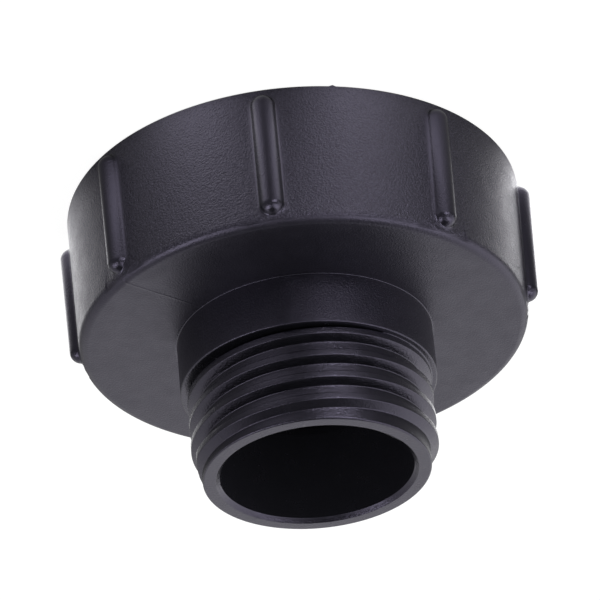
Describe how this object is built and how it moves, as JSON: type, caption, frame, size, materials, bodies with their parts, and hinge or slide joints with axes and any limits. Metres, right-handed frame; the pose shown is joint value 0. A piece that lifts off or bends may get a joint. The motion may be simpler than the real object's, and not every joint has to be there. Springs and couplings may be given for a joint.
{
  "type": "ibc tap adapter",
  "caption": "Black moulded reducing adapter: a wide cup with grip ribs and a coarse female thread steps down to a neck and a coarse male threaded spigot; a flat sealing ring lies inside.",
  "frame": {"origin": "on the axis, in the plane of the cup's open rim, which the part stands on", "axes": "+Z along the axis from the rim of the cup to the mouth of the spigot; +X through one of the grip ribs"},
  "size_m": [0.1188, 0.1188, 0.0754],
  "materials": {
    "body_plastic": "black moulded polypropylene with a soft sheen",
    "gasket_rubber": "matt black moulded rubber"
  },
  "bodies": {
    "root": {"adapter_body": "body_plastic", "sealing_gasket": "gasket_rubber"}
  },
  "joints": []
}
